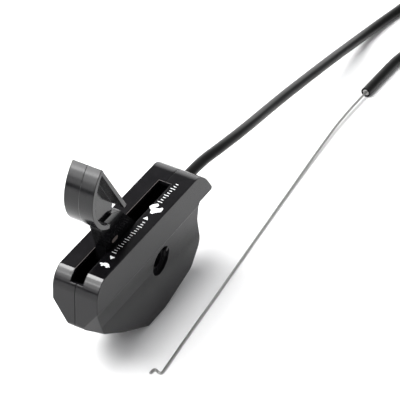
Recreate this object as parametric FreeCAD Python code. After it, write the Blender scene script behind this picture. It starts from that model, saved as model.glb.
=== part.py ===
"""Lever-type throttle control for a garden machine, with its Bowden cable.

A two-shell plastic housing holds a thumb lever on a steel bushing. The lever pushes and pulls a steel wire
through a jacketed conduit that leaves the housing at the back. The origin is on the floor under the middle of
the housing and lever, +X points out of the cable end, +Y to the mounting side and +Z up. Millimetres.
"""
import FreeCAD, Part
import math
import os

V = FreeCAD.Vector

# Housing, driving dimensions
LENGTH = 113.0
WIDTH = 25.0
HEIGHT = 66.0
WALL = 2.4
FRONT = -LENGTH / 2
BODY_BACK = 100.0        # length of the lower body, under the overhanging cable end
CREASE_DEPTH = 19.0      # where the upright side panel ends, below the top
CREASE_STEP = 0.35       # the band lies this much inside the upright panel
BAND_DEPTH = 31.0        # where the band under the crease ends
BAND_HALF = 11.5
FLOOR_HALF = 11.2
EDGE_R = 0.4
SEAM_WIDTH = 0.4         # groove round the parting plane
SEAM_DEPTH = 0.4

# Lever slot in the top
SLOT_WIDTH = 7.0
SLOT_START = 1.5
SLOT_END = 86.5

# Pivot, which is also the hole for the mounting bolt
PIVOT_X = 63.0           # from the front
PIVOT_DEPTH = 29.5       # below the top
BOLT_R = 4.1
BUSH_R = 5.5
RECESS_R = 8.0
RECESS_FLOOR = 9.3       # distance of the recess floor from the parting plane
BUSH_RIGHT = RECESS_FLOOR - WALL
BUSH_LEFT = 7.0
LUG_INNER = 5.6          # where the stop in the recess begins, from the pivot
LUG_WIDTH = 2.0
LUG_TURN = 34            # degrees up from +X
PAD_R = 10.0             # flat pad round the bolt hole, on the mounting side
RUNNING = 0.05

# Lever
ARM_HALF = 3.0
HUB_R = 13.0
HUB_HALF = 5.0
HEAD_HALF = 8.0
WEB_HALF = 1.5
SHELL_T = 2.1
HEAD_STEP = 0.4          # the right half of the front shell stands this much proud
HEAD_SEAM = 0.2
WASHER_R = 9.0
WASHER_T = 1.3
WAVE_T = 0.5

# Cable
CONDUIT_R = 2.9
SPIRAL_R = 1.9
LINER_R = 0.95
WIRE_R = 0.7
CABLE_DEPTH = 11.5       # cable axis below the top
CRANK_R = 19.0           # lever radius at which the wire is hooked
CRANK_ANGLE = 18.5       # forward of upright, lever at rest
STUB_START = 84.0        # inner end of the conduit, from the front
WIRE_INNER_END = 92.0    # where the hooked wire ends inside the stub, from the front
COLLAR_R = 4.1           # crimped collar that keeps the conduit in the housing
COLLAR_START = 97.0
COLLAR_END = 102.6
TIP_LENGTH = 28.8

# Housing screws: distance from the front, depth below the top
SCREWS = [(16.0, 32.5), (56.0, 56.5), (92.0, 50.0), (92.5, 26.0)]
SCREW_R = 1.5
SCREW_HEAD_R = 2.9
SCREW_SEAT = 6.6
BOSS_R = 3.7

# Coil of the spare conduit
COIL_R = 31.0            # middle of the turns
COIL_CENTRE = (357.0, -33.5)
COIL_LIFT = 0.8          # the coil lies on its tie
COIL_LAYERS = 2
COIL_COLUMNS = 2
TIE_TURNS = (60, -60)    # where the ties are, in degrees from +X
TIE_WIDTH = 5.0

TOP = HEIGHT


def at(from_front, depth, y=0.0):
    """A point given by its distance from the front, its depth below the top and its place across."""
    return V(FRONT + from_front, y, TOP - depth)


PIVOT = at(PIVOT_X, PIVOT_DEPTH)
CABLE = at(0, CABLE_DEPTH)


def rounded(corners, place):
    """A closed wire through (a, b, radius) corners, with tangent arcs, in the plane given by place."""
    edges = []
    count = len(corners)
    ends = []
    for i, (a, b, radius) in enumerate(corners):
        here = V(a, b, 0)
        before = V(*corners[i - 1][:2], 0) - here
        after = V(*corners[(i + 1) % count][:2], 0) - here
        half = before.getAngle(after) / 2
        reach = radius / math.tan(half)
        before.normalize()
        after.normalize()
        middle = before + after
        middle.normalize()
        crown = here + middle * (radius / math.sin(half) - radius)
        ends.append((here + before * reach, crown, here + after * reach, radius))
    for i, (start, crown, end, radius) in enumerate(ends):
        if radius > 0:
            edges.append(Part.Arc(place(start), place(crown), place(end)).toShape())
        following = ends[(i + 1) % count][0]
        if end.distanceToPoint(following) > 1e-6:
            edges.append(Part.LineSegment(place(end), place(following)).toShape())
    return Part.Wire(edges)


def side_plane(y):
    """Places (from front, depth) points in the plane across the given y."""
    return lambda p: at(p.x, p.y, y)


def cross_plane(x):
    """Places (y, depth) points in a plane across the housing."""
    return lambda p: V(x, p.x, TOP - p.y)


def across(radius, y0, y1, centre):
    """A cylinder along Y between two places across."""
    return Part.makeCylinder(radius, y1 - y0, V(centre.x, y0, centre.z), V(0, 1, 0))


def along(radius, x0, x1, inner=0.0):
    """A cylinder or tube on the cable's axis, between two distances from the front."""
    start = CABLE + V(x0, 0, 0)
    body = Part.makeCylinder(radius, x1 - x0, start, V(1, 0, 0))
    if inner:
        body = body.cut(Part.makeCylinder(inner, x1 - x0, start, V(1, 0, 0)))
    return body


def box(x0, x1, y0, y1, depth0, depth1):
    """A box between distances from the front, places across and depths below the top."""
    return Part.makeBox(x1 - x0, y1 - y0, depth1 - depth0, at(x0, depth1, y0))


def corner_cut(side, inset):
    """The half space that bevels a lower front corner, moved inwards by inset."""
    a, b, c = V(0, 12.5, 17.8), V(0, 4.3, 30.1), V(7, 11.6, 33.5)
    normal = (b - a).cross(c - a)
    normal.normalize()
    if normal.z < 0:
        normal = normal * -1
    foot = at(a.x, a.z, a.y * side)
    outward = V(normal.x, normal.y * side, -normal.z)
    foot = foot - outward * inset
    block = Part.makeBox(160, 160, 60, V(-80, -80, 0))
    block.Placement = FreeCAD.Placement(foot, FreeCAD.Rotation(V(0, 0, 1), outward))
    return block


def body(inset):
    """The housing's form, with every wall moved inwards by inset."""
    profile = [
        (6.6, 0, 0.25),
        (0, 3.05, 10.9),
        (0, 31, 4),
        (27, 49.8, 60),
        (54.5, HEIGHT, 6),
        (65, HEIGHT, 8),
        (95.5, 57.5, 8),
        (104.3, 45, 9),
        (BODY_BACK, 28, 12),
        (BODY_BACK, 17, 1.2),
        (LENGTH, 17, 0.9),
        (LENGTH, 15.2, 2.0),
        (106, 5.3, 30),
        (99.5, 0, 12),
    ]
    section = [
        (WIDTH / 2, 0, EDGE_R),
        (WIDTH / 2, CREASE_DEPTH - 0.3, 0.3),
        (WIDTH / 2 - CREASE_STEP, CREASE_DEPTH + 0.3, 0.3),
        (BAND_HALF, BAND_DEPTH, 3),
        (FLOOR_HALF, HEIGHT, 1.5),
        (-FLOOR_HALF, HEIGHT, 1.5),
        (-BAND_HALF, BAND_DEPTH, 3),
        (CREASE_STEP - WIDTH / 2, CREASE_DEPTH + 0.3, 0.3),
        (-WIDTH / 2, CREASE_DEPTH - 0.3, 0.3),
        (-WIDTH / 2, 0, EDGE_R),
    ]
    side = Part.Face(rounded(profile, side_plane(-WIDTH)))
    front = Part.Face(rounded(section, cross_plane(FRONT - 10)))
    if inset:
        side = side.makeOffset2D(-inset)
        front = front.makeOffset2D(-inset)
    form = side.extrude(V(0, 2 * WIDTH, 0)).common(front.extrude(V(LENGTH + 20, 0, 0)))
    for corner in (-1, 1):
        form = form.cut(corner_cut(corner, inset))
    return form


def hollow():
    """Both shells as one, before the split: walls, bosses, ribs and openings."""
    outer = body(0)
    shell = outer.cut(body(WALL))
    ribs = [across(RECESS_R + WALL, -WIDTH / 2, -BUSH_RIGHT, PIVOT)]
    for x, depth in SCREWS:
        ribs.append(across(BOSS_R, -WIDTH / 2, WIDTH / 2, at(x, depth)))
    for x in (88.0, 94.6, 103.0):
        ribs.append(box(x, x + 2.0, -WIDTH / 2, WIDTH / 2, 1, CABLE_DEPTH + 4.2))
    for x in (44.5, 76.5):
        ribs.append(box(x, x + 4.0, -WIDTH / 2, WIDTH / 2, 45.0, 62.0))
    for rib in ribs:
        shell = shell.fuse(rib.common(outer))
    shell = shell.fuse(across(PAD_R, BUSH_LEFT, WIDTH / 2, PIVOT))
    cuts = [
        box(SLOT_START, SLOT_END, -SLOT_WIDTH / 2, SLOT_WIDTH / 2, -2, 5.5),
        across(RECESS_R, -WIDTH, -RECESS_FLOOR, PIVOT),
        across(BOLT_R, -WIDTH, WIDTH, PIVOT),
        along(CONDUIT_R, STUB_START, LENGTH + 5),
        along(COLLAR_R, COLLAR_START, COLLAR_END),
        box(47.0, 78.0, -3.3, 3.3, 46.9, 48.1),
        box(-2, LENGTH + 2, -SEAM_WIDTH / 2, SEAM_WIDTH / 2, -2, HEIGHT + 2).cut(body(SEAM_DEPTH)),
    ]
    for cut in cuts:
        shell = shell.cut(cut)
    for x, depth in SCREWS:
        centre = at(x, depth)
        shell = shell.cut(across(SCREW_R, -8.0, SCREW_SEAT, centre))
        shell = shell.cut(across(SCREW_R + 0.2, 0.0, SCREW_SEAT, centre))
        shell = shell.cut(across(SCREW_HEAD_R + 0.2, SCREW_SEAT, WIDTH, centre))
    return shell.fuse(recess_lug().common(outer))


def recess_lug():
    """A small stop that stands in the recess round the bolt hole."""
    lug = Part.makeBox(RECESS_R + 0.5 - LUG_INNER, WIDTH / 2 - RECESS_FLOOR, LUG_WIDTH,
                       V(LUG_INNER, -WIDTH / 2, -LUG_WIDTH / 2))
    lug.Placement = FreeCAD.Placement(PIVOT, FreeCAD.Rotation(V(0, 1, 0), -LUG_TURN)).multiply(lug.Placement)
    return lug


def screws():
    """Pan-head screws that join the shells, from the mounting side."""
    made = []
    for x, depth in SCREWS:
        centre = at(x, depth)
        head = across(SCREW_HEAD_R, SCREW_SEAT, SCREW_SEAT + 1.9, centre)
        drive = Part.makeBox(4.2, 1.2, 0.9, V(centre.x - 2.1, SCREW_SEAT + 1.2, centre.z - 0.45))
        drive = drive.fuse(Part.makeBox(0.9, 1.2, 4.2, V(centre.x - 0.45, SCREW_SEAT + 1.2, centre.z - 2.1)))
        made.append(head.fuse(across(SCREW_R, -7.5, SCREW_SEAT, centre)).cut(drive).removeSplitter())
    return Part.makeCompound(made)


def ring(outer, inner, y0, y1):
    """A washer or sleeve about the pivot."""
    return across(outer, y0, y1, PIVOT).cut(across(inner, y0, y1, PIVOT))


def wave_washer():
    """A spring washer, bowed between the hub and the left boss."""
    flat = HUB_HALF + 0.35
    bow = BUSH_LEFT - flat - WAVE_T
    points = [V(-WASHER_R - 1, flat, 0), V(0, flat + bow, 0), V(WASHER_R + 1, flat, 0)]
    lower = Part.Arc(*points).toShape()
    upper = Part.Arc(*[p + V(0, WAVE_T, 0) for p in points]).toShape()
    sides = [Part.LineSegment(points[i], points[i] + V(0, WAVE_T, 0)).toShape() for i in (0, 2)]
    sheet = Part.Face(Part.Wire(Part.__sortEdges__([lower, upper, *sides])))
    sheet = sheet.extrude(V(0, 0, 2 * WASHER_R + 2))
    sheet.translate(V(PIVOT.x, 0, PIVOT.z - WASHER_R - 1))
    return sheet.common(ring(WASHER_R, BUSH_R + RUNNING, 0, WIDTH))


def arc_band(points, thickness, y0, y1):
    """A curved strip through three (from front, depth) points, thickened towards its centre, across y0 to y1."""
    a, b, c = (at(*p, y0) for p in points)
    arc = Part.Arc(a, b, c)
    centre = arc.toShape().Curve.Center
    inner = [p + (centre - p).normalize() * thickness for p in (a, b, c)]
    edges = [
        arc.toShape(),
        Part.LineSegment(c, inner[2]).toShape(),
        Part.Arc(*inner[::-1]).toShape(),
        Part.LineSegment(inner[0], a).toShape(),
    ]
    return Part.Face(Part.Wire(edges)).extrude(V(0, y1 - y0, 0))


def plate(corners, y0, y1):
    """A plate with (from front, depth, radius) corners, across y0 to y1."""
    return Part.Face(rounded(corners, side_plane(y0))).extrude(V(0, y1 - y0, 0))


def lever():
    """The thumb lever: hub, arm through the slot, and a head with a curved front shell and a flat back."""
    tip = (12.0, -60.4)
    front_foot = (18.8, -20.8)
    belly = (3.9, -44.8)
    head = arc_band([tip, belly, front_foot], SHELL_T, -HEAD_HALF, HEAD_HALF)
    proud = [(x - HEAD_STEP, depth) for x, depth in (tip, belly, front_foot)]
    head = head.fuse(arc_band(proud, SHELL_T, -HEAD_HALF, -HEAD_SEAM))
    back = plate([(*tip, 0.4), (34.8, -24.4, 1.0), (32.9, -23.4, 1.0), (11.8, -57.4, 0.2)], -HEAD_HALF, HEAD_HALF)
    web = plate([(13.2, -57.2, 0), (32.5, -25.5, 0), (30.0, -12.0, 0), (19.0, -20.0, 0), (6.4, -36.0, 0),
                 (6.0, -51.0, 0)], -WEB_HALF, WEB_HALF)
    inside = plate([(12.6, -59.6, 0.3), (34.0, -24.8, 0.5), (30.0, -8.0, 0.3), (20.0, -14.0, 0.5),
                    (11.0, -30.0, 8), (5.2, -44.5, 8)], -HEAD_HALF, HEAD_HALF)
    arm = plate([(17.6, -20.5, 0.3), (23.8, -3.2, 0.4), (24.4, 7.0, 2.5), (52.5, 37.5, 1.0), (74.0, 23.0, 1.0),
                 (50.5, -1.5, 6.0), (37.5, -17.0, 6.0), (29.5, -20.5, 1.0)], -ARM_HALF, ARM_HALF)
    hub = across(HUB_R, -HUB_HALF, HUB_HALF, PIVOT)
    pip = plate([(28.8, -4.4, 1.2), (34.6, -4.4, 1.2), (34.6, -1.9, 1.2), (28.8, -1.9, 1.2)], -ARM_HALF - 0.2, 0)
    made = head.fuse([back, web.common(inside), arm, hub, pip])
    groove = across(26.0, -1.3, 1.3, PIVOT).cut(across(16.4, -1.3, 1.3, PIVOT))
    made = made.cut(groove)
    lean = math.radians(CRANK_ANGLE)
    window = []
    for radius in (19.05, 20.75):
        centre = PIVOT + V(-math.sin(lean) * radius, 0, math.cos(lean) * radius)
        window.append(across(2.4, -HUB_HALF, HUB_HALF, centre))
    made = made.cut(window[0].fuse(window[1]))
    for turn in (62, 90, 118):
        notch = PIVOT + V(math.cos(math.radians(turn)), 0, -math.sin(math.radians(turn))) * (HUB_R + 0.5)
        made = made.cut(across(1.5, -HUB_HALF, HUB_HALF, notch))
    return made.cut(across(BUSH_R + RUNNING, -HUB_HALF, HUB_HALF, PIVOT)).removeSplitter()


def detent_spring():
    """A leaf spring under the hub: a strip with a raised middle that clicks into the hub's notches."""
    low, high, sheet = 47.2, 43.6, 0.6
    centre = [(48.2, low), (57.0, low), (63.0, high), (69.0, low), (76.3, low)]
    under = [(x, depth + sheet, 0) for x, depth in reversed(centre)]
    return plate([(x, depth, 0) for x, depth in centre] + under, -2.9, 2.9)


def smooth_path(points):
    """Straight runs joined by tangent arcs as large as the runs allow. Returns the wire and the radii."""
    edges, radii = [], []
    start = points[0]
    for before, here, after in zip(points, points[1:], points[2:]):
        back, on = before - here, after - here
        shorter = min(back.Length, on.Length)
        half_turn = (math.pi - back.getAngle(on)) / 2
        radius = 0.45 * shorter / math.tan(half_turn)
        reach = 0.45 * shorter
        back.normalize()
        on.normalize()
        middle = (back + on).normalize()
        crown = here + middle * (radius / math.cos(half_turn) - radius)
        first, last = here + back * reach, here + on * reach
        edges.append(Part.LineSegment(start, first).toShape())
        edges.append(Part.Arc(first, crown, last).toShape())
        radii.append(round(radius, 1))
        start = last
    edges.append(Part.LineSegment(start, points[-1]).toShape())
    return Part.Wire(edges), radii


def tube(name, points, radius):
    """A solid round tube along a route, with its radii and its volume against section times length printed."""
    path, radii = smooth_path(points)
    direction = points[1] - points[0]
    circle = Part.Wire(Part.Circle(points[0], direction, radius).toShape())
    solid = path.makePipeShell([circle], True, False)
    share = solid.Volume / (math.pi * radius ** 2 * path.Length)
    print(f"{name}: length {path.Length:.1f}, volume share {share:.4f}, arc radii {radii}")
    return solid


def route(points):
    return [V(*p) for p in points]


# The cable's routes: conduit to the coil, conduit from the coil to its tip, and the bare wire on the floor
CABLE_Z = HEIGHT - CABLE_DEPTH
FLOOR_Z = CONDUIT_R
COIL_Z = COIL_LIFT + CONDUIT_R
COIL_X, COIL_Y = COIL_CENTRE
RUN = [
    (LENGTH / 2, 0, CABLE_Z),
    (67, 0, CABLE_Z),
    (87, -2, 52.6),
    (114.5, -2, 47.5),
    (143, 0.5, 40),
    (170, 1.7, 34),
    (198, 3.2, 26.8),
    (226, 5.2, 19),
    (252, 6.9, 11.5),
    (276, 7.6, 5.6),
    (298, 5.7, 3.3),
    (318, 2.1, 2.9),
    (338, -1.2, 3.3),
    (COIL_X, COIL_Y + COIL_R, COIL_Z),
]
RETURN = [
    (COIL_X, COIL_Y - COIL_R, COIL_Z),
    (336, COIL_Y - COIL_R, 3.3),
    (314, -50.5, FLOOR_Z),
    (290, -19.2, FLOOR_Z),
    (259.3, -18.25, FLOOR_Z),
]
TIP_DIRECTION = (V(*RETURN[-1]) - V(*RETURN[-2])).normalize()
TIP_END = V(*RETURN[-1]) + TIP_DIRECTION * TIP_LENGTH
CORE_LENGTH = 22.0
BARE = [
    tuple(TIP_END),
    tuple(TIP_END + TIP_DIRECTION * 24.5),
    (180, -17.6, 2.0),
    (152, -19.5, 1.2),
    (117.2, -22.1, 0.8),
    (78.5, -25.2, WIRE_R),
    (40.6, -28.5, WIRE_R),
    (4.2, -31.3, WIRE_R),
    (-26, -33.9, WIRE_R),
]
Z_BEND = [
    (-26, -33.9, WIRE_R),
    (-32.4, -34.45, WIRE_R),
    (-29.2, -28.8, WIRE_R),
    (-33.8, -29.45, WIRE_R),
]


def coil():
    """The outer form of the neat coil: a ring as wide and as tall as its turns."""
    half = CONDUIT_R * COIL_COLUMNS
    height = 2 * CONDUIT_R * COIL_LAYERS
    centre = V(COIL_X, COIL_Y, COIL_LIFT)
    return Part.makeCylinder(COIL_R + half, height, centre).cut(Part.makeCylinder(COIL_R - half, height, centre))


def coil_ties():
    """Two narrow straps round the coil's section, which it lies on."""
    half = CONDUIT_R * COIL_COLUMNS + COIL_LIFT
    height = 2 * CONDUIT_R * COIL_LAYERS + 2 * COIL_LIFT
    ring_section = coil()
    straps = []
    for turn in TIE_TURNS:
        strap = Part.makeBox(2 * half, TIE_WIDTH, height, V(COIL_R - half, -TIE_WIDTH / 2, 0))
        strap.Placement = FreeCAD.Placement(V(COIL_X, COIL_Y, 0), FreeCAD.Rotation(V(0, 0, 1), turn)).multiply(
            strap.Placement)
        straps.append(strap.cut(ring_section))
    return Part.makeCompound(straps)


def cable_pieces():
    """The conduit and wire: what the housing holds, the loose route, the coil and the bare end."""
    turns = coil()
    hook_x = PIVOT_X - CRANK_R * math.sin(math.radians(CRANK_ANGLE))
    eye = CABLE + V(hook_x, 0, 0)
    leg_y, tail = 4.4, 4.5
    wire = along(WIRE_R, hook_x, WIRE_INNER_END)
    wire = wire.fuse([across(WIRE_R, 0, leg_y, eye), Part.makeSphere(WIRE_R, eye)])
    bend = eye + V(0, leg_y, 0)
    wire = wire.fuse([Part.makeSphere(WIRE_R, bend), Part.makeCylinder(WIRE_R, tail, bend, V(-1, 0, 0))])
    tip = V(*RETURN[-1])
    face = tip + TIP_DIRECTION * TIP_LENGTH
    core = Part.makeCylinder(WIRE_R, CORE_LENGTH, face - TIP_DIRECTION * CORE_LENGTH, TIP_DIRECTION)
    return {
        "conduit_collar": along(COLLAR_R, COLLAR_START, COLLAR_END, CONDUIT_R),
        "conduit_stub_jacket": along(CONDUIT_R, STUB_START, LENGTH, SPIRAL_R),
        "conduit_stub_spiral": along(SPIRAL_R, STUB_START - 1.0, LENGTH, LINER_R),
        "wire_lever_end": wire.removeSplitter(),
        "conduit_run": tube("conduit_run", route(RUN), CONDUIT_R).cut(turns),
        "conduit_coil": turns,
        "coil_ties": coil_ties(),
        "conduit_return": tube("conduit_return", route(RETURN), CONDUIT_R).cut(turns),
        "conduit_tip_jacket": pipe(CONDUIT_R, SPIRAL_R, tip, TIP_LENGTH),
        "conduit_tip_spiral": pipe(SPIRAL_R, LINER_R, tip, TIP_LENGTH - 0.3),
        "wire_core": core,
        "wire_bare": tube("wire_bare", route(BARE), WIRE_R),
        "wire_z_bend": tube("wire_z_bend", route(Z_BEND), WIRE_R),
    }


def pipe(outer, inner, start, length):
    """A straight hollow length of conduit, from start along the tip's direction."""
    body = Part.makeCylinder(outer, length, start, TIP_DIRECTION)
    return body.cut(Part.makeCylinder(inner, length, start, TIP_DIRECTION))


def main():
    os.makedirs("parts", exist_ok=True)
    shells = hollow()
    left = Part.makeBox(4 * LENGTH, WIDTH, 3 * HEIGHT, V(-2 * LENGTH, 0, -HEIGHT))
    right = Part.makeBox(4 * LENGTH, WIDTH, 3 * HEIGHT, V(-2 * LENGTH, -WIDTH, -HEIGHT))
    parts = {
        "housing_right": shells.common(right),
        "housing_left": shells.common(left),
        "housing_screws": screws(),
        "pivot_bushing": ring(BUSH_R, BOLT_R, -BUSH_RIGHT, BUSH_LEFT),
        "thrust_washer": ring(WASHER_R, BUSH_R, -BUSH_RIGHT, -BUSH_RIGHT + WASHER_T),
        "friction_washer": wave_washer(),
        "thumb_lever": lever(),
        "detent_spring": detent_spring(),
    }
    parts.update(cable_pieces())
    for name, shape in parts.items():
        if not shape.isValid():
            print("invalid:", name)
        shape.exportStep(f"parts/{name}.step")


main()
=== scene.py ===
"""The looks of a garden machine's lever throttle control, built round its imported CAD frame. Metres."""
import math

import bpy
from mathutils import Matrix, Vector


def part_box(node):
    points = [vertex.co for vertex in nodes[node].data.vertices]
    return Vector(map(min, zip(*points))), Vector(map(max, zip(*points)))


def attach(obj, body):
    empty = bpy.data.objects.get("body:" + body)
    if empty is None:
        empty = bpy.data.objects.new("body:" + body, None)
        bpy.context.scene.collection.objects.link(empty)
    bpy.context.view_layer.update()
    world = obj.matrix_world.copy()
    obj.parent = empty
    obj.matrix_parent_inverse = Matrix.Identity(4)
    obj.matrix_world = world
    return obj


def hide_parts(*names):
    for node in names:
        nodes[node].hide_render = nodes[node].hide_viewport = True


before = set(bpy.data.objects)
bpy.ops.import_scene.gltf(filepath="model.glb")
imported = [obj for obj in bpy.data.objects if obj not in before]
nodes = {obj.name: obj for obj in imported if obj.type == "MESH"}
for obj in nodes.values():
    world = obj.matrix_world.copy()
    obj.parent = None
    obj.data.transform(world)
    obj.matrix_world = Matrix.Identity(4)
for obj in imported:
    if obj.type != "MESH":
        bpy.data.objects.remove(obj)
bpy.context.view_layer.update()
housing_low, housing_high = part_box("housing_right")
FRONT_X, TOP_Z = housing_low.x, housing_high.z
MM = 0.001

# Camera
CAMERA_PLACE = Vector((-0.8291, -0.4804, 0.83839))
CAMERA_RIGHT = Vector((0.48892, -0.87200, 0.02397))
CAMERA_UP = Vector((0.53410, 0.32096, 0.78213))
CAMERA_LENS = 225
CAMERA_REACH = 50

# The cable, millimetres
CONDUIT_D = 5.8
WIRE_D = 1.4
COIL_CENTRE = (357.0, -33.5)
COIL_R = 31.0             # where the coil's two columns of turns meet
COIL_LIFT = 0.8           # the coil's lowest point above the floor
COIL_TURNS = 3.5
POINTS_PER_TURN = 16
STEP_OVER = 0.2           # the last share of a turn, where it moves to its next column or layer
RUN = [
    (56.5, 0, 54.5),
    (67, 0, 54.5),
    (87, -2, 52.6),
    (114.5, -2, 47.5),
    (143, 0.5, 40),
    (170, 1.7, 34),
    (198, 3.2, 26.8),
    (226, 5.2, 19),
    (252, 6.9, 11.5),
    (276, 7.6, 5.6),
    (298, 5.7, 3.3),
    (318, 2.1, 2.9),
    (338, -1.2, 3.3),
]
RETURN = [
    (336, -64.5, 3.3),
    (314, -50.5, 2.9),
    (290, -19.2, 2.9),
    (259.3, -18.25, 2.9),
]
TIP_LENGTH = 28.8
BARE_STRAIGHT = 24.5      # from the conduit's end to the bare wire's second point
BARE = [
    (180, -17.6, 2.0),
    (152, -19.5, 1.2),
    (117.2, -22.1, 0.8),
    (78.5, -25.2, 0.7),
    (40.6, -28.5, 0.7),
    (4.2, -31.3, 0.7),
    (-26, -33.9, 0.7),
    (-32.4, -34.45, 0.7),
    (-29.2, -28.8, 0.7),
    (-33.8, -29.45, 0.7),
]

# The scale on the top, millimetres from the housing's front and its middle plane. A picture is drawn upright
# round its own middle, and its up is the housing's +X.
TORTOISE = [
    (-2.9, 0.2), (-2.2, 0.8), (-1.5, 0.5), (-0.9, 1.4), (0.3, 1.8), (1.6, 1.2), (2.4, 0.1), (3.0, -0.5),
    (2.2, -0.6), (1.8, -1.4), (1.0, -1.4), (0.8, -0.7), (-0.6, -0.7), (-0.9, -1.4), (-1.7, -1.3),
    (-1.5, -0.4), (-2.6, -0.4),
]
HARE = [
    (-3.7, 0.4), (-3.2, 2.2), (-1.2, 4.2), (-0.1, 3.5), (0.0, 2.1), (-1.2, 0.7), (-0.2, 0.5), (1.5, 1.4),
    (2.2, 2.6), (3.1, 2.2), (3.3, 0.3), (3.1, -0.9), (1.8, -2.0), (0.7, -3.4), (0.4, -4.2), (-0.9, -4.0),
    (-1.4, -2.8), (-1.4, -1.7), (-2.8, -0.9),
]
PICTURES = [(TORTOISE, 15.8, -7.3), (HARE, 65.4, -6.7)]
ARROW = [(-1.5, -0.2), (0.9, -1.4), (0.9, 1.3)]
# Each arrow's place, and 1 or -1 for the way it points
ARROWS = [(22.2, -7.2, 1.0), (56.7, -6.4, -1.0)]
# Each row's start, end and pitch, and its place across at its start and its end
TICK_ROWS = [(26.0, 53.4, 1.95, -6.3, -7.0), (71.4, 88.0, 2.05, -5.7, -6.1)]
TICK_HALF_WIDTH = 0.22
LONG_TICK, SHORT_TICK = 1.25, 0.75        # half lengths
LONG_EVERY = 3
PRINT_HEIGHT = 0.03

# The slot in the top and a painted highlight along its edge, millimetres
SLOT_START, SLOT_END, SLOT_HALF = 1.5, 86.5, 3.5
RIM = 0.3

# The oblong pip on the lever's arm, millimetres from the housing's front and above its top
ARM_SIDE = 3.2
PIP_AT = (31.9, 3.1)
PIP_R, PIP_STRAIGHT, PIP_RISE = 1.15, 3.0, 0.1
PIP_POINTS = 24

# Shine, as the shader's specular level
# Painted shade: the housing's flanks get less shine than its ends
FLANK_SHADED_SHEEN, END_SHEEN = 0.13, 0.27
FLANK_BEGINS, FLANK_FULL = 0.4, 0.95      # how far a face's normal points sideways
# Painted shade in the recess round the bolt hole: its shine is cut inside this distance
RECESS_SHADE_FULL, RECESS_SHADE_END = 5.9, 6.3      # millimetres from the bolt's axis
RECESS_SHADE_SHARE = 0.15
# Painted shade on the lever's arm: its shine is cut below these heights
ARM_SHADED_SHEEN = 0.01
ARM_SHADE_FULL, ARM_SHADE_END = 16, 20              # millimetres above the housing's top

# Floor and light
FLOOR_LOW, FLOOR_HIGH = (-1.4, -1.0), (1.8, 1.4)
LIT_POINT = Vector((0, 0, 0.04))
BELT_Y = 0.377                            # the way that the glossy tops mirror
BELT_EDGE, SKY_EDGE = 0.12, 0.32
BELT, SKY = 0.25, 0.5


def add_object(name, data):
    """A new object in the scene."""
    made = bpy.data.objects.new(name, data)
    bpy.context.scene.collection.objects.link(made)
    return made


def material(name):
    """A new node material, with its node tree and its shader."""
    made = bpy.data.materials.new(name)
    made.use_nodes = True
    return made, made.node_tree, made.node_tree.nodes["Principled BSDF"]


def noise(tree, scale, detail=2.0, rough=0.5):
    """Noise through the object, from 0 to 1."""
    coords = tree.nodes.new("ShaderNodeTexCoord")
    made = tree.nodes.new("ShaderNodeTexNoise")
    made.inputs["Scale"].default_value = scale
    made.inputs["Detail"].default_value = detail
    made.inputs["Roughness"].default_value = rough
    tree.links.new(coords.outputs["Object"], made.inputs["Vector"])
    return made.outputs["Fac"]


def ramp(tree, value, low, high, to_low, to_high):
    """A value between low and high, mapped to lie between to_low and to_high."""
    made = tree.nodes.new("ShaderNodeMapRange")
    made.inputs["From Min"].default_value = low
    made.inputs["From Max"].default_value = high
    made.inputs["To Min"].default_value = to_low
    made.inputs["To Max"].default_value = to_high
    tree.links.new(value, made.inputs["Value"])
    return made.outputs["Result"]


def object_coords(tree, output):
    """The x, y and z of an object texture coordinate."""
    coords = tree.nodes.new("ShaderNodeTexCoord")
    split = tree.nodes.new("ShaderNodeSeparateXYZ")
    tree.links.new(coords.outputs[output], split.inputs["Vector"])
    return split.outputs


def maths(tree, operation, *values):
    """A maths node on linked sockets and plain numbers."""
    made = tree.nodes.new("ShaderNodeMath")
    made.operation = operation
    for slot, value in zip(made.inputs, values):
        if isinstance(value, (int, float)):
            slot.default_value = value
        else:
            tree.links.new(value, slot)
    return made.outputs["Value"]


def plastic(name, colour, rough, grain=0.02, soft_edge=0.0, sheen=0.5):
    """Moulded plastic with faint paler patches, uneven gloss and fine grain. soft_edge rounds its edges."""
    made, tree, shader = material(name)
    paler = tuple(min(1.0, value * 2.2) for value in colour)
    dust = tree.nodes.new("ShaderNodeMix")
    dust.data_type = "RGBA"
    dust.inputs["A"].default_value = (*colour, 1)
    dust.inputs["B"].default_value = (*paler, 1)
    patches = noise(tree, scale=350, detail=6, rough=0.7)
    tree.links.new(ramp(tree, patches, 0.52, 0.75, 0, 1), dust.inputs["Factor"])
    tree.links.new(dust.outputs["Result"], shader.inputs["Base Color"])
    shader.inputs["Specular IOR Level"].default_value = sheen
    broad = noise(tree, scale=60, detail=3)
    tree.links.new(ramp(tree, broad, 0.3, 0.7, rough - 0.03, rough + 0.05), shader.inputs["Roughness"])
    bump = tree.nodes.new("ShaderNodeBump")
    bump.inputs["Strength"].default_value = 0.2
    bump.inputs["Distance"].default_value = grain * MM
    tree.links.new(noise(tree, scale=2500), bump.inputs["Height"])
    if soft_edge:
        edge = tree.nodes.new("ShaderNodeBevel")
        edge.samples = 8
        edge.inputs["Radius"].default_value = soft_edge * MM
        tree.links.new(edge.outputs["Normal"], bump.inputs["Normal"])
    tree.links.new(bump.outputs["Normal"], shader.inputs["Normal"])
    return made


def steel(name, colour, rough):
    """Bright metal with uneven gloss."""
    made, tree, shader = material(name)
    shader.inputs["Base Color"].default_value = (*colour, 1)
    shader.inputs["Metallic"].default_value = 1.0
    uneven = noise(tree, scale=800, detail=3)
    tree.links.new(ramp(tree, uneven, 0.3, 0.7, rough - 0.06, rough + 0.1), shader.inputs["Roughness"])
    return made


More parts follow.
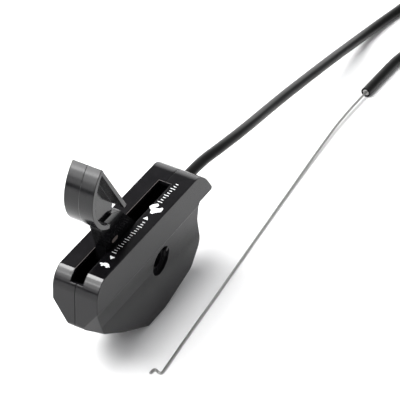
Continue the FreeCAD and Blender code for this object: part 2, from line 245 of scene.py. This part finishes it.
def paint_housing_shade(finish):
    """Painted shade: less shine on the flanks than on the ends, and little shine in the bolt hole and the
    middle of its recess.
    """
    low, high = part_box("pivot_bushing")
    tree = finish.node_tree
    flank = maths(tree, "ABSOLUTE", object_coords(tree, "Normal")["Y"])
    painted_flank_shade = ramp(tree, flank, FLANK_BEGINS, FLANK_FULL, END_SHEEN, FLANK_SHADED_SHEEN)
    place = object_coords(tree, "Object")
    beside = maths(tree, "SUBTRACT", place["X"], (low.x + high.x) / 2)
    above = maths(tree, "SUBTRACT", place["Z"], (low.z + high.z) / 2)
    squares = maths(tree, "ADD", maths(tree, "POWER", beside, 2), maths(tree, "POWER", above, 2))
    distance = maths(tree, "SQRT", squares)
    recess_shade = ramp(tree, distance, RECESS_SHADE_FULL * MM, RECESS_SHADE_END * MM, RECESS_SHADE_SHARE, 1)
    sheen = tree.nodes["Principled BSDF"].inputs["Specular IOR Level"]
    tree.links.new(maths(tree, "MULTIPLY", painted_flank_shade, recess_shade), sheen)


def paint_arm_shade(finish):
    """Painted shade: takes the shine off the lever's arm, below its head."""
    tree = finish.node_tree
    sheen = tree.nodes["Principled BSDF"].inputs["Specular IOR Level"]
    height = object_coords(tree, "Object")["Z"]
    full = sheen.default_value
    shaded = ramp(tree, height, TOP_Z + ARM_SHADE_FULL * MM, TOP_Z + ARM_SHADE_END * MM, ARM_SHADED_SHEEN, full)
    tree.links.new(shaded, sheen)


HOUSING = plastic("housing_plastic", (0.004, 0.0038, 0.0045), 0.17, soft_edge=0.5, sheen=0.2)
LEVER = plastic("lever_plastic", (0.004, 0.004, 0.0045), 0.15, soft_edge=0.5, sheen=0.32)
JACKET = plastic("conduit_jacket", (0.003, 0.0029, 0.0028), 0.3, sheen=0.15)
PAINT = plastic("scale_paint", (0.85, 0.87, 0.88), 0.5, grain=0.01)
STEEL = steel("wire_steel", (0.4, 0.4, 0.39), 0.34)
ZINC = steel("zinc_steel", (0.6, 0.6, 0.62), 0.35)
TIE = plastic("tie_plastic", (0.02, 0.02, 0.02), 0.4)
# A painted highlight, standing for light caught on the slot's edges
SLOT_HIGHLIGHT = plastic("painted_slot_highlight", (0.045, 0.038, 0.036), 0.35)
# Paler than the arm: a painted sheen on the real raised pip
PIP_SHEEN = plastic("pip_painted_sheen", (0.13, 0.11, 0.1), 0.45)
NYLON = plastic("washer_plastic", (0.6, 0.58, 0.52), 0.4)
# Painted shade on the housing's flanks and in its recess
paint_housing_shade(HOUSING)
# Painted shade on the lever's arm, below its head
paint_arm_shade(LEVER)

NODE_MATERIALS = {
    "housing_right": HOUSING, "housing_left": HOUSING, "thumb_lever": LEVER,
    "housing_screws": ZINC, "pivot_bushing": ZINC, "thrust_washer": NYLON, "friction_washer": ZINC,
    "detent_spring": ZINC, "conduit_collar": ZINC, "conduit_stub_jacket": JACKET,
    "conduit_stub_spiral": STEEL, "wire_lever_end": STEEL, "coil_ties": TIE, "conduit_tip_jacket": JACKET,
    "conduit_tip_spiral": STEEL, "wire_core": STEEL,
}
for node, finish in NODE_MATERIALS.items():
    slots = nodes[node].data.materials
    slots.clear()
    slots.append(finish)

for node in ("housing_right", "housing_left", "thumb_lever"):
    for face in nodes[node].data.polygons:
        face.use_smooth = True


def raised_marks(name, outlines, place, rise, finish, body):
    """One piece of flat raised marks: place turns a point of an outline and its height into a vertex."""
    verts, faces = [], []
    for outline in outlines:
        first = len(verts)
        count = len(outline)
        for height in (0.0, rise):
            for a, b in outline:
                verts.append(place(a, b, height))
        faces.append([first + count + i for i in range(count)])
        for i in range(count):
            j = (i + 1) % count
            faces.append([first + i, first + j, first + count + j, first + count + i])
    mesh = bpy.data.meshes.new(name)
    mesh.from_pydata(verts, [], faces)
    mesh.materials.append(finish)
    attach(add_object(name, mesh), body)


def on_top(a, b, height):
    """A point on the housing's top, from its distance from the front and its place across."""
    return FRONT_X + a * MM, b * MM, TOP_Z + height * MM


def on_arm(a, b, height):
    """A point on the lever's right side, from its distance from the front and its height above the top."""
    return FRONT_X + a * MM, -(ARM_SIDE + height) * MM, TOP_Z + b * MM


def bar(a0, a1, b0, b1):
    """The outline of an upright rectangle."""
    return [(a0, b0), (a1, b0), (a1, b1), (a0, b1)]


def scale_outlines():
    """The white scale: slow and fast pictures, two arrows and rows of ticks."""
    outlines = [[(x + v, y - u) for u, v in shape] for shape, x, y in PICTURES]
    outlines += [[(x + a * way, y + b * way) for a, b in ARROW] for x, y, way in ARROWS]
    for start, end, pitch, y_first, y_last in TICK_ROWS:
        count = int((end - start) / pitch)
        for i in range(count + 1):
            x = start + i * pitch
            y = y_first + (y_last - y_first) * i / count
            half = LONG_TICK if i % LONG_EVERY == 0 else SHORT_TICK
            outlines.append(bar(x - TICK_HALF_WIDTH, x + TICK_HALF_WIDTH, y - half, y + half))
    return outlines


def rim_outlines():
    """Two strips of painted highlight, along the slot's +Y side and across its back end."""
    return [
        bar(SLOT_START, SLOT_END + RIM, SLOT_HALF, SLOT_HALF + RIM),
        bar(SLOT_END, SLOT_END + RIM, -SLOT_HALF, SLOT_HALF),
    ]


def pip_outline():
    """The oblong pip: two half rounds joined by straights."""
    points = []
    for step in range(PIP_POINTS):
        angle = 2 * math.pi * (step + 0.5) / PIP_POINTS
        side = math.copysign(PIP_STRAIGHT / 2, math.cos(angle))
        points.append((PIP_AT[0] + side + PIP_R * math.cos(angle), PIP_AT[1] + PIP_R * math.sin(angle)))
    return points


raised_marks("scale_print", scale_outlines(), on_top, PRINT_HEIGHT, PAINT, "housing")
# A painted highlight along the slot's edges
raised_marks("slot_rim", rim_outlines(), on_top, PRINT_HEIGHT, SLOT_HIGHLIGHT, "housing")
# The raised pip, its paler colour a painted sheen
raised_marks("lever_pip", [pip_outline()], on_arm, PIP_RISE, PIP_SHEEN, "lever")


def rope(name, points, diameter, finish):
    """A round tube on one smooth spline through the route's points, given in millimetres."""
    curve = bpy.data.curves.new(name, "CURVE")
    curve.dimensions = "3D"
    spline = curve.splines.new("NURBS")
    spline.points.add(len(points) - 1)
    for place, point in zip(spline.points, points):
        place.co = (*(Vector(point) * MM), 1)
    spline.order_u = 3
    spline.use_endpoint_u = True
    spline.resolution_u = 12
    curve.bevel_depth = diameter * MM / 2
    curve.bevel_resolution = 8
    curve.use_fill_caps = True
    curve.materials.append(finish)
    return add_object(name, curve)


def coil_turns():
    """Points of the coil: it is entered at the +Y side and left at the -Y side, two layers of two columns."""
    inner, outer = COIL_R - CONDUIT_D / 2, COIL_R + CONDUIT_D / 2
    low = COIL_LIFT + CONDUIT_D / 2
    high = low + CONDUIT_D
    course = [(outer, low), (inner, low), (inner, high), (outer, high)]
    points = []
    for step in range(int(COIL_TURNS * POINTS_PER_TURN) + 1):
        turn = step / POINTS_PER_TURN
        index = min(int(turn), len(course) - 1)
        share = min(1.0, max(0.0, (turn - index - (1 - STEP_OVER)) / STEP_OVER))
        here = course[index]
        after = course[min(index + 1, len(course) - 1)]
        radius = here[0] + (after[0] - here[0]) * share
        height = here[1] + (after[1] - here[1]) * share
        angle = math.pi / 2 - turn * 2 * math.pi
        across, along = radius * math.cos(angle), radius * math.sin(angle)
        points.append((COIL_CENTRE[0] + across, COIL_CENTRE[1] + along, height))
    return points


tip_start = Vector(RETURN[-1])
tip_direction = (tip_start - Vector(RETURN[-2])).normalized()
tip_end = tip_start + tip_direction * TIP_LENGTH
conduit = rope("conduit", [*RUN, *coil_turns(), *RETURN], CONDUIT_D, JACKET)
wire = rope("bare_wire", [tip_end, tip_end + tip_direction * BARE_STRAIGHT, *BARE], WIRE_D, STEEL)
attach(conduit, "housing")
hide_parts("conduit_run", "conduit_coil", "conduit_return")
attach(wire, "wire_far")
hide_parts("wire_bare", "wire_z_bend")


def add_floor():
    """A pale, dull floor, which isn't part of the object."""
    (x0, y0), (x1, y1) = FLOOR_LOW, FLOOR_HIGH
    mesh = bpy.data.meshes.new("floor")
    mesh.from_pydata([(x0, y0, 0), (x1, y0, 0), (x1, y1, 0), (x0, y1, 0)], [], [(0, 1, 2, 3)])
    floor = add_object("floor", mesh)
    pale, _, shader = material("floor")
    shader.inputs["Base Color"].default_value = (0.9, 0.9, 0.9, 1)
    shader.inputs["Roughness"].default_value = 0.9
    shader.inputs["Specular IOR Level"].default_value = 0.0
    mesh.materials.append(pale)


def panel(name, place, size, radiance, lights, across=(1, 0, 0)):
    """A flat light of even brightness, aimed at the object, with its width along the given direction.

    It is left out of the light on dull surfaces ("gloss"), or out of the reflections ("floor").
    """
    light = bpy.data.lights.new(name, "AREA")
    light.shape = "RECTANGLE"
    light.size, light.size_y = size
    light.energy = radiance * math.pi * size[0] * size[1]
    holder = add_object(name, light)
    holder.visible_camera = False
    holder.visible_diffuse = lights == "floor"
    holder.visible_glossy = lights == "gloss"
    holder.location = place
    aim = LIT_POINT - Vector(place)
    up = Vector(across).cross(aim).normalized()
    width = up.cross(-aim).normalized()
    holder.rotation_euler = Matrix((width, up, -aim.normalized())).transposed().to_euler()


def studio_world():
    """Even light from all round, but for a darker belt across, which the glossy tops mirror."""
    world = bpy.data.worlds.new("studio")
    bpy.context.scene.world = world
    world.use_nodes = True
    tree = world.node_tree
    background = tree.nodes["Background"]
    background.inputs["Color"].default_value = (0.98, 0.98, 1.0, 1)
    offset = maths(tree, "SUBTRACT", object_coords(tree, "Generated")["Y"], BELT_Y)
    strength = ramp(tree, maths(tree, "ABSOLUTE", offset), BELT_EDGE, SKY_EDGE, BELT, SKY)
    tree.links.new(strength, background.inputs["Strength"])


def add_camera():
    """The camera at the photograph's viewing angle."""
    camera = add_object("camera", bpy.data.cameras.new("camera"))
    camera.data.lens = CAMERA_LENS
    camera.data.clip_end = CAMERA_REACH
    axes = Matrix((CAMERA_RIGHT, CAMERA_UP, CAMERA_RIGHT.cross(CAMERA_UP))).transposed()
    camera.matrix_world = Matrix.Translation(CAMERA_PLACE) @ axes.to_4x4()
    bpy.context.scene.camera = camera


add_floor()
panel("overhead", (-0.24, 0.50, 1.0), (0.34, 0.5), 30, "gloss")
panel("middle_overhead", (-0.71, 0.52, 1.0), (0.58, 0.5), 10, "gloss")
panel("front_overhead", (-1.45, 0.62, 1.0), (0.8, 0.6), 6, "gloss")
panel("front_wall", (-1.9, 0.85, 0.45), (1.2, 0.4), 2.4, "gloss", across=(0, 1, 0))
panel("back_wall", (1.9, 0.76, 0.6), (1.6, 1.2), 2.2, "gloss", across=(0, 1, 0))
panel("key", (-0.34, 0.38, 1.0), (0.9, 0.9), 11, "floor")
studio_world()
bpy.context.scene.view_settings.view_transform = "Standard"
add_camera()
